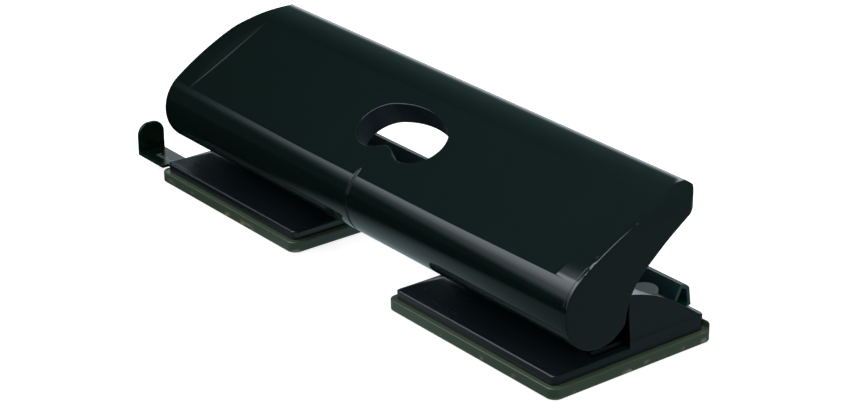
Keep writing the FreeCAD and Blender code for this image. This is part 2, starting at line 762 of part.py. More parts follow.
# the underside's arcs touch each other, the rolled front and the nose
bow, crook, hip = value("cheekBow"), value("cheekCrook"), value("cheekHip")
bowCentre = polar(nose, value("noseRadius") + bow, value("cheekNose"))
crookCentre = crossing(axis, value("cheekWaist") + crook, bowCentre, bow - crook)
hipCentre = crossing(crookCentre, hip + crook, axis, lobe - hip)
cheekPoint = polar(crookCentre, crook, bearing(bowCentre, crookCentre))
waistPoint = polar(hipCentre, hip, bearing(hipCentre, crookCentre))
hipPoint = polar(axis, lobe, bearing(axis, hipCentre))


def handleProfile():
    # the whole side outline: rolled front, arched top, rounded rear nose, hollowed underside
    tip = value("noseRadius")
    return section([
        cheekPoint + (-crook,),
        polar(nose, tip, value("cheekNose")) + (-bow,),
        polar(nose, tip, 0) + (tip,),
        polar(nose, tip, noseRoll) + (tip,),
        polar(axis, lobe, value("rollAngle")) + (archSpan,),
        polar(axis, lobe, 200) + (lobe,),
        polar(axis, lobe, 270) + (lobe,),
        hipPoint + (lobe,),
        waistPoint + (hip,)])


def cavityProfile():
    # what the shell leaves open: inside of the rolled front, under the top, down past the underside
    inner = lobe - value("skin")
    ceiling = archSpan - value("skin") - value("panelSink")
    lip = value("lipAngle")
    back = nose[0] + value("noseRadius") - value("noseBlock")
    backAngle = math.degrees(math.acos((back - archCentre[0]) / ceiling))
    below = value("tableHeight")
    return section([
        polar(axis, inner, 200) + (inner,),
        polar(axis, inner, lip) + (inner,),
        polar(axis, lobe + 2, lip),
        (axis[0] + lobe, below), (nose[0] + lobe, axis[1]),
        (back + 2, cheekPoint[1] + value("skin")), (back + 2, nose[1] - lobe / 2),
        polar(archCentre, ceiling, backAngle),
        polar(archCentre, ceiling, value("rollAngle")) + (ceiling,),
        polar(axis, inner, value("rollAngle"))])


panelStart = polar(axis, lobe, value("creaseAngle"))
panelAngle = math.radians(value("panelTilt"))
panelAlong = Vector(0, math.cos(panelAngle), math.sin(panelAngle))
panelUp = Vector(0, -math.sin(panelAngle), math.cos(panelAngle))


def onPanel(x, along, up):
    return Vector(x, *panelStart) + panelAlong * along + panelUp * up


def panelCutter():
    # clears everything above the flat panel, between end walls that lean outwards
    half, high = value("panelHalf"), 2 * value("skin")
    start, length = -value("skin"), value("noseDepth")
    corners = [onPanel(x, start, up) for x, up in
               ((-half, 0), (half, 0), (half + high, high), (-half - high, high))]
    return Part.Face(Part.makePolygon(corners + corners[:1])).extrude(panelAlong * length)


def sightFace(grow, up):
    # the kidney outline: two front lobes, a bump between them and one wide arc behind
    across, start = value("sightAcross"), value("sightStart")
    lobeRound, bumpTop, rearTop = value("sightLobe"), value("sightBump"), value("sightRear")
    rise = lobeRound - bumpTop
    bump = (across ** 2 + rise ** 2 - lobeRound ** 2) / (2 * (lobeRound - rise))
    reach = rearTop - lobeRound
    rearCentre = (across ** 2 + lobeRound ** 2 - reach ** 2) / (2 * (lobeRound - reach))
    rearSpan = rearTop - rearCentre
    bumpCentre = bumpTop - bump

    def touch(centre, radius, other):
        reach = math.hypot(other[0] - centre[0], other[1] - centre[1])
        return (centre[0] + (other[0] - centre[0]) * radius / reach,
                centre[1] + (other[1] - centre[1]) * radius / reach)

    right = (across, lobeRound)
    outer = lobeRound + grow
    dip = touch((0, bumpCentre), bump - grow, right)
    away = (2 * across, 2 * lobeRound - rearCentre)
    crown = touch(right, outer, away)
    points = [(-crown[0], crown[1]), (-across - outer, lobeRound, outer), (-dip[0], dip[1], outer),
              (dip[0], dip[1], -(bump - grow)), (across + outer, lobeRound, outer),
              (crown[0], crown[1], outer), (-crown[0], crown[1], rearSpan + grow)]
    flat = section([(x, y) + tuple(rest) for x, y, *rest in points[1:]])
    # section() lies in the plane X = 0; turn it into the panel's plane
    matrix = FreeCAD.Matrix()
    origin = onPanel(0, start, up)
    columns = (panelUp, Vector(1, 0, 0), panelAlong)
    for index, column in enumerate(columns):
        setattr(matrix, "A1%d" % (index + 1), column.x)
        setattr(matrix, "A2%d" % (index + 1), column.y)
        setattr(matrix, "A3%d" % (index + 1), column.z)
    matrix.A14, matrix.A24, matrix.A34 = origin.x, origin.y, origin.z
    return flat.transformed(matrix)


def roundedBlock(bend, low, high, lift):
    # a slab in the plane Z = 0 as wide as the handle, with its far corners rounded
    half, slant = value("handleHalf"), bend * math.sqrt(0.5)
    edges = [Part.LineSegment(Vector(-half, low, 0), Vector(half, low, 0)),
             Part.LineSegment(Vector(half, low, 0), Vector(half, high - bend, 0)),
             Part.LineSegment(Vector(half - bend, high, 0), Vector(bend - half, high, 0)),
             Part.LineSegment(Vector(-half, high - bend, 0), Vector(-half, low, 0))]
    for side in (1, -1):
        middle = Vector(side * (half - bend + slant), high - bend + slant, 0)
        start, stop = Vector(side * half, high - bend, 0), Vector(side * (half - bend), high, 0)
        edges.append(Part.Arc(start, middle, stop))
    wire = Part.Wire(Part.__sortEdges__([edge.toShape() for edge in edges]))
    return Part.Face(wire).extrude(Vector(0, 0, lift))


def handleCorners():
    # rear corners rounded in plan, upper corners rounded seen from the front
    reach = 2 * nose[1]
    plan = roundedBlock(value("cornerPlan"), -lobe, nose[0] + value("noseRadius"), reach)
    front = roundedBlock(value("cornerTop"), 0, nose[1] + value("noseRadius"), reach)
    front.rotate(Vector(), Vector(1, 0, 0), 90)
    front.translate(Vector(0, reach - lobe, 0))
    return plan.common(front)


def softEnds(solid, bend, ends):
    rims = [edge for edge in solid.Edges for end in ends
            if all(abs(vertex.X - end) < 1e-4 for vertex in edge.Vertexes)]
    return solid.makeFillet(bend, rims)


def ribFace():
    rod = (value(rodDepth), value(rodHeight))
    eye, lean, slack = value("ribEye"), value("ribLean"), value("slidingGap")
    return section([(axis[0] - lobe, axis[1]), (axis[0], axis[1] - eye), (rod[0], rod[1] - eye + slack),
                    (rod[0] + eye - slack, rod[1]), (rod[0] + eye / 2, rod[1] + 1.5 * eye),
                    (rod[0] + lean, rod[1] + lobe), (rod[0] + lean, nose[1]), (axis[0] - lobe, nose[1])])


def handleShell():
    half = value("handleHalf - endSheet")
    whole = softEnds(prism(handleProfile(), -half, half), value("seamRound"), (-half, half))
    shell = whole.cut(prism(cavityProfile(), -half - 1, half + 1))
    rod = (value(rodDepth), value(rodHeight))
    sheetWidth = value("ribSheet")
    ribs = []
    for side in (-1, 1):
        for across in (-1, 1):
            for reach in (value("innerRib"), value("outerRib")):
                low = side * value("holePitch") + across * reach - sheetWidth / 2
                rib = prism(ribFace(), low, low + sheetWidth).common(whole)
                rib = rib.fuse(rodAlongX(value("ribBoss"), low, low + sheetWidth, *axis))
                ribs.append(rib.fuse(rodAlongX(value("ribEye"), low, low + sheetWidth, *rod)))
    stopLow, stopWidth = value("stopRibDepth"), value("stopRibSheet")
    for side in (-1, 1):
        low = Vector(side * value("holePitch") - value("rodHalf"), stopLow, value("stopRibHeight"))
        bar = Part.makeBox(2 * value("rodHalf"), stopWidth, nose[1], low)
        ribs.append(bar.common(whole))
    shell = shell.fuse(ribs)
    rim = sightFace(value("sightWall"), 0).extrude(panelUp * -value("sightRim"))
    shell = shell.fuse(rim)
    shell = shell.cut(panelCutter())
    shell = shell.cut(sightFace(0, -nose[1]).extrude(panelUp * 2 * nose[1]))
    ring = rodAlongX(lobe + 1, -value("grooveWidth") / 2, value("grooveWidth") / 2, *axis)
    ring = ring.cut(rodAlongX(lobe - value("grooveSink"), -1, 1, *axis))
    ring = ring.cut(Part.makeBox(2, 2 * lobe, 2 * lobe, Vector(-1, panelStart[0] + value("skin"), axis[1])))
    shell = shell.cut(ring)
    for side in (-1, 1):
        for across in (-1, 1):
            middle = side * value("holePitch") + across * value("innerRib")
            bore = value("axleRadius + runningGap")
            shell = shell.cut(rodAlongX(bore, middle - sheetWidth, middle + sheetWidth, *axis))
        middle, rodEnd = side * value("holePitch"), value("rodHalf + runningGap / 2")
        bore = value("rodRadius + runningGap / 2")
        shell = shell.cut(rodAlongX(bore, middle - rodEnd, middle + rodEnd, *rod))
    shell = shell.common(handleCorners()).removeSplitter()
    return addShape("handle_shell", shell)


def handleEnd(name, side):
    half, thick = value("handleHalf"), value("endSheet")
    low = half - thick if side > 0 else -half
    plate = softEnds(prism(handleProfile(), low, low + thick), value("endRound"), (side * half,))
    return addShape(name, plate.common(handleCorners()))


# ---- tie rail ----

railDown = math.radians(value(roofSlope))
railFootPoint = (value("kneeDepth"), value("kneeHeight"))
railBite = value("railRise - railWall")


def railPoint(along, up):
    return (railFootPoint[0] + along * math.cos(railDown) + up * math.sin(railDown),
            railFootPoint[1] - along * math.sin(railDown) + up * math.cos(railDown))


def tieRail():
    half, wall, foot = value("railHalf"), value("railWall"), value("railFoot")
    rise, crown, drop = value("railRise"), value("railTop"), value("railDrop")
    y, z = railFootPoint
    top = (y + rise / 2, z + rise)
    outer = [(y, z), railPoint(foot - wall, 0), railPoint(foot, wall),
             (top[0] + crown + drop, top[1] - 2 * drop), (top[0] + crown, top[1] - drop), top]
    middle = section(outer)
    wire = middle.OuterWire
    inner = wire.makeOffset2D(-wall)
    inside = Part.Face(inner)
    downward = Vector(0, -math.sin(railDown), -math.cos(railDown))
    room = prism(inside, -half - 1, half + 1)
    floor = [face for face in room.Faces if face.normalAt(0, 0).dot(downward) > 0.99][0]
    block = prism(middle, -half, half)
    rail = block.cut(room).cut(floor.extrude(downward * 3 * wall))
    posts, spot = [], railPoint(foot / 2, 0)
    for side in (-1, 1):
        for across in (-1, 1):
            x = side * value("holePitch") + across * value("railPostAcross")
            post = Part.makeCylinder(value("railPost"), 2 * rise, Vector(x, *spot), -downward)
            hole = Part.makeCylinder(value("screwShank"), railBite, Vector(x, *spot), -downward)
            posts.append((post.common(block), hole))
    rail = rail.fuse([post for post, hole in posts])
    for post, hole in posts:
        rail = rail.cut(hole)
    return addShape("tie_rail", rail.removeSplitter())


def railScrews():
    shapes = []
    spot = railPoint(value("railFoot") / 2, -value("coverWall"))
    for side in (-1, 1):
        for across in (-1, 1):
            shape = screw(value("coverWall") + railBite - value("freeGap"))
            shape.rotate(Vector(), Vector(1, 0, 0), -math.degrees(railDown))
            x = side * value("holePitch") + across * value("railPostAcross")
            shape.translate(Vector(x, *spot))
            shapes.append(shape)
    return addShape("rail_screws", Part.makeCompound(shapes))


# ---- buffers ----

def stopBuffers(name, x):
    radius, low, top = value("bufferRadius"), value("bufferSeat"), value("bufferTop")
    shapes = []
    for side in (-1, 1):
        foot = Vector(side * value("bufferAcross"), value("bufferDepth"), low)
        pill = Part.makeCylinder(radius, top - low, foot)
        crown = [edge for edge in pill.Edges if all(abs(v.Z - top) < 1e-4 for v in edge.Vertexes)
                 and len(edge.Vertexes) == 1 and abs(edge.CenterOfMass.z - top) < 1e-4]
        shapes.append(pill.makeFillet(value("bufferRound"), crown))
    return addShape(name, Part.makeCompound(shapes), x)


# ---- paper guide ----

def paperGuide():
    body = newBody("paper_guide")
    blade = [("-guideReach", "guideEdge"), ("-guideShoulder", "guideEdge"), ("-guideShoulder", "bladeEdge"),
             ("-guideInner", "bladeEdge"), ("-guideInner", "guideBack"), ("-guideReach", "guideBack")]
    pad(body, outline(body, "XY_Plane", bladeBottom, blade), "guideSheet")
    tab = [("guideEdge", bladeBottom), ("guideBack", bladeBottom), ("guideBack", "tabHeight - tabRound"),
           ("guideBack - tabRound", "tabHeight", "tabRound"), ("guideEdge + tabRound", "tabHeight"),
           ("guideEdge", "tabHeight - tabRound", "tabRound")]
    pad(body, outline(body, "YZ_Plane", "-guideReach", tab), "tabSheet")
    place(body)
    return body


def guideKeeper():
    body = newBody("guide_keeper")
    flat = [("-keeperLeft", "bladeEdge"), ("-keeperRight", "bladeEdge"),
            ("-keeperRight", "keeperBack"), ("-keeperLeft", "keeperBack")]
    pad(body, outline(body, "XY_Plane", "trayRim - keeperSheet", flat), "keeperSheet")
    pocket(body, circles(body, "XY_Plane", "0", "screwShank + slidingGap", keeperSpots()), "trayRim + 1")
    place(body, "-holePitch")
    return body


def keeperSpots():
    return [("-(keeperLeft - keeperAcross / 2)", "keeperPost"),
            ("-(keeperRight + keeperAcross / 2)", "keeperPost")]


def keeperScrews():
    shapes = []
    for across, depth in keeperSpots():
        shape = screw(value("keeperSheet + tableHeight - coverWall - trayRim - 0.6"))
        shape.translate(Vector(value(across), value(depth), value("trayRim - keeperSheet")))
        shapes.append(shape)
    return addShape("keeper_screws", Part.makeCompound(shapes), "-holePitch")


# ---- assembly ----

pieces = [handleShell(), handleEnd("handle_end_left", -1), handleEnd("handle_end_right", 1)]
for word, side in units:
    middle = "%d * holePitch" % side
    pieces.append(chipTray("chip_tray_" + word, middle))
    pieces.append(coverBody("base_cover_" + word, middle, side < 0))
    pieces.append(punchFrame("punch_frame_" + word, middle))
    pieces.append(basePlate("base_plate_" + word, middle))
    pieces.append(addShape("frame_rivets_" + word, rivets(), middle))
    pieces.append(addShape("plate_screws_" + word, plateScrews(), middle))
    pieces.append(stopBuffers("stop_buffers_" + word, middle))
    pieces.append(crossBar("hinge_axle_" + word, middle, "axleRadius", "innerRib + ribSheet + clipSheet",
                           "axisDepth", "axisHeight"))
    pieces.append(axleClips("axle_clips_" + word, middle))
    pieces.append(crossBar("press_rod_" + word, middle, "rodRadius", "rodHalf", rodDepth, rodHeight))
for number, pitches in enumerate((-1.5, -0.5, 0.5, 1.5), 1):
    spot = "%s * holePitch" % pitches
    pieces.append(punchPin("punch_pin_%d" % number, spot))
    pieces.append(pinWasher("pin_clip_%d" % number, spot))
    pieces.append(returnSpring("return_spring_%d" % number, spot))
pieces += [tieRail(), railScrews(), paperGuide(), guideKeeper(), keeperScrews()]
doc.recompute()

for item in doc.Objects:
    if "Invalid" in item.State or "Error" in item.State:
        raise RuntimeError("%s failed: %s" % (item.Name, item.State))
os.makedirs("parts", exist_ok=True)
for piece in pieces:
    shape = piece.Shape
    if shape.isNull() or not shape.isValid():
        raise RuntimeError("%s has no valid shape" % piece.Label)
    shape.exportStep("parts/%s.step" % piece.Label)
    print("%-22s solids %d volume %.1f" % (piece.Label, len(shape.Solids), shape.Volume))
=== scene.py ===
import json
import math

import bmesh
import bpy
from mathutils import Matrix, Vector
from mathutils.bvhtree import BVHTree


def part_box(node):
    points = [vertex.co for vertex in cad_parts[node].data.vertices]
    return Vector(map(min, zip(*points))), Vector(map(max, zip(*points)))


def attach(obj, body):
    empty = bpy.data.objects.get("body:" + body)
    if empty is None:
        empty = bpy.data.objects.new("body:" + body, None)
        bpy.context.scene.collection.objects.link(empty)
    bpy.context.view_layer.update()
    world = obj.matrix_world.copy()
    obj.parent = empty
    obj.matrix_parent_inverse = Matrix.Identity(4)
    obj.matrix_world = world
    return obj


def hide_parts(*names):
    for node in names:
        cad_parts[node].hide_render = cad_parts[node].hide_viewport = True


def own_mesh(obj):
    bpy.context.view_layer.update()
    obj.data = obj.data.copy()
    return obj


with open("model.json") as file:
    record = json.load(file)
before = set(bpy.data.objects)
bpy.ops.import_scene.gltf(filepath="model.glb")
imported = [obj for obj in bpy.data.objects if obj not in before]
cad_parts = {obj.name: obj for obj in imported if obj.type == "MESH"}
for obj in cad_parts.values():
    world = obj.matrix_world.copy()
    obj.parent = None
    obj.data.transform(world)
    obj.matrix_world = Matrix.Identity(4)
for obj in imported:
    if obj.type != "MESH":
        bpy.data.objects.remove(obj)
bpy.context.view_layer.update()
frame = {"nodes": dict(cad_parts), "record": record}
nodes = frame["nodes"]
print("frame loaded,", len(nodes), "pieces")


# Small helpers for node trees. An input is named by its label, or by its number after an underscore

def newTree(name):
    material = bpy.data.materials.new(name)
    material.use_nodes = True
    tree = material.node_tree
    tree.nodes.clear()
    output = tree.nodes.new("ShaderNodeOutputMaterial")
    shader = tree.nodes.new("ShaderNodeBsdfPrincipled")
    tree.links.new(shader.outputs["BSDF"], output.inputs["Surface"])
    return material, tree, shader


def addNode(tree, kind, settings=None, **inputs):
    node = tree.nodes.new(kind)
    for name, setting in (settings or {}).items():
        setattr(node, name, setting)
    for name, source in inputs.items():
        connect(tree, source, node.inputs[int(name[1:])] if name[1:].isdigit() else node.inputs[name])
    return node


def connect(tree, source, socket):
    if isinstance(source, bpy.types.NodeSocket):
        tree.links.new(source, socket)
    else:
        socket.default_value = source


def maths(tree, kind, first, second=0.0):
    return addNode(tree, "ShaderNodeMath", {"operation": kind}, _0=first, _1=second).outputs[0]


def product(tree, *factors):
    total = factors[0]
    for factor in factors[1:]:
        total = maths(tree, "MULTIPLY", total, factor)
    return total


def ramp(tree, source, low, high, first, last, kind="SMOOTHSTEP"):
    node = addNode(tree, "ShaderNodeMapRange", {"interpolation_type": kind}, Value=source)
    for label, setting in zip(("From Min", "From Max", "To Min", "To Max"), (low, high, first, last)):
        connect(tree, setting, node.inputs[label])
    return node.outputs[0]


def noise(tree, place, scale, detail):
    return addNode(tree, "ShaderNodeTexNoise", Vector=place, Scale=scale, Detail=detail).outputs[0]


def blended(tree, factor, first, second):
    node = addNode(tree, "ShaderNodeMix", {"data_type": "RGBA"}, Factor=factor)
    for socket, colour in ((node.inputs[6], first), (node.inputs[7], second)):
        connect(tree, colour + (1,) if isinstance(colour, tuple) else colour, socket)
    return node.outputs[2]


# Moulded or pressed surfaces are never quite even: a slow waviness, a fine grain and light scuffs

wear = {"grainDetail": 3.0, "patchScale": 38.0, "patchDetail": 4.0, "patchSpread": (0.3, 0.7),
        "dustSpread": (0.5, 0.8), "streakScale": (60.0, 700.0, 500.0), "streakDetail": 2.0,
        "scuffSpread": (0.62, 0.78)}
surfaceInputs = {"Coordinates": (0, 0, 0), "Grain Size": 0.0004, "Smooth": 0.2, "Rough": 0.4, "Scuffs": 0.1}


def handledSurface():
    tree = bpy.data.node_groups.new("handledSurface", "ShaderNodeTree")
    for label, start in surfaceInputs.items():
        kind = "NodeSocketVector" if isinstance(start, tuple) else "NodeSocketFloat"
        tree.interface.new_socket(label, in_out="INPUT", socket_type=kind).default_value = start
    for label in ("Roughness", "Height", "Dust"):
        tree.interface.new_socket(label, in_out="OUTPUT", socket_type="NodeSocketFloat")
    given, made = tree.nodes.new("NodeGroupInput").outputs, tree.nodes.new("NodeGroupOutput").inputs
    place = given["Coordinates"]
    grain = noise(tree, place, maths(tree, "DIVIDE", 1.0, given["Grain Size"]), wear["grainDetail"])
    patches = noise(tree, place, wear["patchScale"], wear["patchDetail"])
    stretched = addNode(tree, "ShaderNodeMapping", Vector=place, Scale=wear["streakScale"])
    streaks = noise(tree, stretched.outputs[0], 1.0, wear["streakDetail"])
    scuffs = maths(tree, "MULTIPLY", ramp(tree, streaks, *wear["scuffSpread"], 0.0, 1.0, "LINEAR"),
                   given["Scuffs"])
    waves = ramp(tree, patches, *wear["patchSpread"], given["Smooth"], given["Rough"], "LINEAR")
    connect(tree, maths(tree, "ADD", waves, scuffs), made["Roughness"])
    connect(tree, grain, made["Height"])
    connect(tree, ramp(tree, patches, *wear["dustSpread"], 0.0, 1.0, "LINEAR"), made["Dust"])
    return tree


surfaceTree = handledSurface()


def surfaceOf(tree, place, finish):
    return addNode(tree, "ShaderNodeGroup", {"node_tree": surfaceTree}, Coordinates=place,
                   Smooth=finish["smooth"], Rough=finish["rough"], Scuffs=finish["scuffs"],
                   **{"Grain Size": finish["grain"]})


def coated(name, finish):
    material, tree, shader = newTree(name)
    place = addNode(tree, "ShaderNodeTexCoord").outputs["Object"]
    surface = surfaceOf(tree, place, finish)
    colour = blended(tree, surface.outputs["Dust"], finish["colour"], finish["worn"])
    bump = addNode(tree, "ShaderNodeBump", Height=surface.outputs["Height"], Distance=finish["height"])
    connect(tree, colour, shader.inputs["Base Color"])
    connect(tree, surface.outputs["Roughness"], shader.inputs["Roughness"])
    connect(tree, bump.outputs[0], shader.inputs["Normal"])
    return material, shader


# Plastics and rubber. The roughness runs from smooth to rough, and grain and height are in metres

plastics = {
    "handleBlack": {"colour": (0.0027, 0.0072, 0.0064), "worn": (0.0032, 0.0082, 0.0073), "smooth": 0.05,
                    "rough": 0.07, "scuffs": 0.03, "grain": 0.0006, "height": 0.000002, "specular": 0.5},
    "coverBlack": {"colour": (0.0045, 0.0090, 0.0108), "worn": (0.0058, 0.0105, 0.0125), "smooth": 0.22,
                   "rough": 0.28, "scuffs": 0.02, "grain": 0.0005, "height": 0.000006, "specular": 0.5},
    "guideGreen": {"colour": (0.0012, 0.009, 0.0055), "worn": (0.002, 0.012, 0.008), "smooth": 0.12,
                   "rough": 0.2, "scuffs": 0.04, "grain": 0.0005, "height": 0.000003, "specular": 0.5},
    # The two inside finishes below are rougher, as an unpolished inside is, and their colours are painted
    # light and shade for the sight hole and the rail channel
    "insidePaintedBlack": {"colour": (0.006, 0.011, 0.017), "worn": (0.008, 0.014, 0.020), "smooth": 0.34,
                    "rough": 0.42, "scuffs": 0.02, "grain": 0.0004, "height": 0.000008, "specular": 0.35},
    "insidePaintedGreen": {"colour": (0.001, 0.080, 0.030), "worn": (0.002, 0.090, 0.036), "smooth": 0.3,
                    "rough": 0.38, "scuffs": 0.0, "grain": 0.0004, "height": 0.000004, "specular": 0.5},
    "railTeal": {"colour": (0.015, 0.046, 0.051), "worn": (0.017, 0.050, 0.055), "smooth": 0.2,
                 "rough": 0.26, "scuffs": 0.02, "grain": 0.0005, "height": 0.000004, "specular": 0.5},
    "bufferGrey": {"colour": (0.088, 0.122, 0.115), "worn": (0.118, 0.154, 0.145), "smooth": 0.5,
                   "rough": 0.62, "scuffs": 0.05, "grain": 0.0003, "height": 0.00001, "specular": 0.4},
    "markInk": {"colour": (0.30, 0.34, 0.32), "worn": (0.34, 0.38, 0.36), "smooth": 0.4,
                "rough": 0.5, "scuffs": 0.0, "grain": 0.0004, "height": 0.0, "specular": 0.5},
}


def plastic(name):
    material, shader = coated(name, plastics[name])
    shader.inputs["Specular IOR Level"].default_value = plastics[name]["specular"]
    shader.inputs["IOR"].default_value = 1.5
    return material


steels = {
    "sheetSteel": {"colour": (0.055, 0.06, 0.064), "smooth": 0.3, "rough": 0.42, "scuffs": 0.15,
                   "grain": 0.0006},
    "groundSteel": {"colour": (0.55, 0.55, 0.56), "smooth": 0.16, "rough": 0.26, "scuffs": 0.1,
                    "grain": 0.0002},
    "zincSteel": {"colour": (0.46, 0.47, 0.48), "smooth": 0.25, "rough": 0.38, "scuffs": 0.1,
                  "grain": 0.0003},
}
steelWear = {"dulled": 0.72, "height": 0.000004}


def steel(name):
    finish = dict(steels[name], height=steelWear["height"])
    finish["worn"] = tuple(steelWear["dulled"] * part for part in finish["colour"])
    material, shader = coated(name, finish)
    shader.inputs["Metallic"].default_value = 1.0
    return material


# Smoked olive tray plastic: painted light at the rim and the foot, a painted sheen at glancing angles, and
# painted beige glints low down on the walls

smoked = {"core": (0.020, 0.042, 0.029), "paintedLitColour": (0.088, 0.118, 0.075), "paintedGlintBeige": (0.36, 0.30, 0.19),
          "smooth": 0.14, "rough": 0.24, "scuffs": 0.03, "grain": 0.0004,
          "rimHeights": (0.0039, 0.0046), "rimPaintedLight": 0.7, "footHeights": (0.0, 0.0016), "footPaintedLight": 0.75,
          "paintedSheen": 0.3, "glintScale": 150.0, "glintDetail": 1.5, "glintSpread": (0.57, 0.68),
          "glintShare": 0.5, "glintHeights": (0.0012, 0.0030), "wallLean": (0.3, 0.6)}


def smokedPlastic():
    material, tree, shader = newTree("smokedOlive")
    place = addNode(tree, "ShaderNodeTexCoord").outputs
    surface = surfaceOf(tree, place["Object"], smoked)
    height = addNode(tree, "ShaderNodeSeparateXYZ", Vector=place["Object"]).outputs["Z"]
    # Painted light: the tray colour turns lighter near the top rim and near the foot, standing in for light
    # passing through the thin plastic
    rim = ramp(tree, height, *smoked["rimHeights"], 0.0, smoked["rimPaintedLight"])
    foot = ramp(tree, height, *smoked["footHeights"], smoked["footPaintedLight"], 0.0)
    # Painted sheen: lighter where a wall is seen at a glancing angle
    paintedSheen = addNode(tree, "ShaderNodeLayerWeight", Blend=smoked["paintedSheen"]).outputs["Facing"]
    paintedLight = maths(tree, "MAXIMUM", maths(tree, "MAXIMUM", rim, foot), paintedSheen)
    # The tray's own olive colour, mixed with the painted light above
    body = blended(tree, paintedLight, smoked["core"], smoked["paintedLitColour"])
    # Painted glints: beige patches of light low down on the walls, strongest near the foot and on upright
    # faces
    paintedGlints = noise(tree, place["Object"], smoked["glintScale"], smoked["glintDetail"])
    lean = addNode(tree, "ShaderNodeSeparateXYZ", Vector=place["Normal"]).outputs["Z"]
    shown = product(tree, ramp(tree, paintedGlints, *smoked["glintSpread"], 0.0, smoked["glintShare"]),
                    ramp(tree, height, *smoked["glintHeights"], 1.0, 0.0),
                    ramp(tree, maths(tree, "ABSOLUTE", lean), *smoked["wallLean"], 1.0, 0.0))
    connect(tree, blended(tree, shown, body, smoked["paintedGlintBeige"]), shader.inputs["Base Color"])
    connect(tree, surface.outputs["Roughness"], shader.inputs["Roughness"])
    shader.inputs["IOR"].default_value = 1.5
    return material


slotFinish = {
    "handle_gloss": plastic("handleBlack"), "cover_plastic": plastic("coverBlack"),
    "guide_plastic": plastic("guideGreen"), "buffer_rubber": plastic("bufferGrey"),
    "tray_smoked": smokedPlastic(), "frame_steel": steel("sheetSteel"),
    "pin_steel": steel("groundSteel"), "fastener_steel": steel("zincSteel"),
}
slotOf = {part["node"]: part["material_slot"] for part in frame["record"]["subparts"]}
bodyOf = {node: body for body, group in frame["record"]["behaviour"]["bodies"].items() for node in group}
finishOf = {name: slotFinish[slotOf[name]] for name in nodes}
finishOf["tie_rail"] = plastic("railTeal")
# Faces inside the hollows get a finish whose colour is painted light and shade
paintedInsideOf = {"handle_shell": plastic("insidePaintedBlack"), "tie_rail": plastic("insidePaintedGreen")}
for name, node in nodes.items():
    node.data.materials.clear()
    node.data.materials.append(finishOf[name])
print("finishes ready")


# A moulded edge is never sharp: each of these is a copy of the CAD piece with its edges rolled.
# On the handle only the sight hole's rim and the middle groove are rolled, as the rest is round already

softEdges = {
    "handle_shell": {"width": 0.00045, "angle": 30, "clamp": False},
    "handle_end_left": {"width": 0.0006, "angle": 30, "clamp": True},
    "handle_end_right": {"width": 0.0006, "angle": 30, "clamp": True},
    "base_cover_left": {"width": 0.0005, "angle": 24, "clamp": False},
    "base_cover_right": {"width": 0.0005, "angle": 24, "clamp": False},
    "chip_tray_left": {"width": 0.0005, "angle": 28, "clamp": False},
    "chip_tray_right": {"width": 0.0005, "angle": 28, "clamp": False},
    "tie_rail": {"width": 0.0005, "angle": 28, "clamp": True},
    "paper_guide": {"width": 0.00035, "angle": 28, "clamp": True},
    "stop_buffers_left": {"width": 0.0004, "angle": 28, "clamp": False},
    "stop_buffers_right": {"width": 0.0004, "angle": 28, "clamp": False},
}
rolling = {"steps": 3, "strayShare": 0.7, "joined": 0.000001, "flatAngle": 0.5,
           "insideReach": 0.08, "insideLift": 0.00002}
shell = {"panelTilt": 26.8, "onPanel": 0.999, "squareToPanel": 0.2, "sharpAngle": 22,
         "holeReach": 0.032, "grooveReach": 0.0025, "grooveRear": -0.02}


def merged(name):
    form = bmesh.new()
    form.from_mesh(nodes[name].data)
    bmesh.ops.remove_doubles(form, verts=form.verts, dist=rolling["joined"])
    bmesh.ops.dissolve_degenerate(form, dist=rolling["joined"], edges=form.edges)
    bmesh.ops.dissolve_limit(form, angle_limit=math.radians(rolling["flatAngle"]), verts=form.verts,
                             edges=form.edges)
    form.normal_update()
    return form


def applied(piece):
    picture = piece.evaluated_get(bpy.context.evaluated_depsgraph_get())
    mesh = bpy.data.meshes.new_from_object(picture)
    piece.modifiers.clear()
    piece.data = mesh
    mesh.name = piece.name


def isSharp(edge, angle):
    return len(edge.link_faces) == 2 and edge.calc_face_angle() >= math.radians(angle)


def rolledEdges(form, middle):
    tilt = math.radians(shell["panelTilt"])
    up = Vector((0, -math.sin(tilt), math.cos(tilt)))
    chosen = []
    for edge in form.edges:
        if not isSharp(edge, softEdges["handle_shell"]["angle"]):
            continue
        place = (edge.verts[0].co + edge.verts[1].co) / 2
        away = abs(place.x - middle)
        first, second = [face.normal.dot(up) for face in edge.link_faces]
        byPanel = max(first, second) > shell["onPanel"] and abs(first * second) < shell["squareToPanel"]
        byHole = byPanel and away < shell["holeReach"]
        byGroove = away < shell["grooveReach"] and place.y < shell["grooveRear"]
        if byHole or byGroove:
            chosen.append(edge)
    return chosen


def weighHandle(form):
    low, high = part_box("handle_shell")
    weights = form.edges.layers.float.new("bevel_weight_edge")
    rolled = rolledEdges(form, (low[0] + high[0]) / 2)
    for edge in rolled:
        edge[weights] = 1.0
    for edge in set(form.edges) - set(rolled):
        edge.smooth = not isSharp(edge, shell["sharpAngle"])


# What only looks at the piece's own other side is the inside of the moulding: unpolished and so rougher, and
# given a colour painted for the light and shade seen in these hollows

def markPaintedInside(form):
    tree = BVHTree.FromBMesh(form)
    for face in form.faces:
        centre = face.calc_center_median_weighted()
        hit = tree.ray_cast(centre + face.normal * rolling["insideLift"], face.normal, rolling["insideReach"])
        if hit[0] is not None:
            face.material_index = 1


# A rolled edge that ran past its corner is drawn back to the piece it came from

def keepClose(piece, surface, width, low, high):
    for vertex in piece.data.vertices:
        place, _, _, distance = surface.find_nearest(vertex.co)
        if distance > rolling["strayShare"] * width:
            vertex.co = place
        vertex.co = [min(max(spot, least), most) for spot, least, most in zip(vertex.co, low, high)]


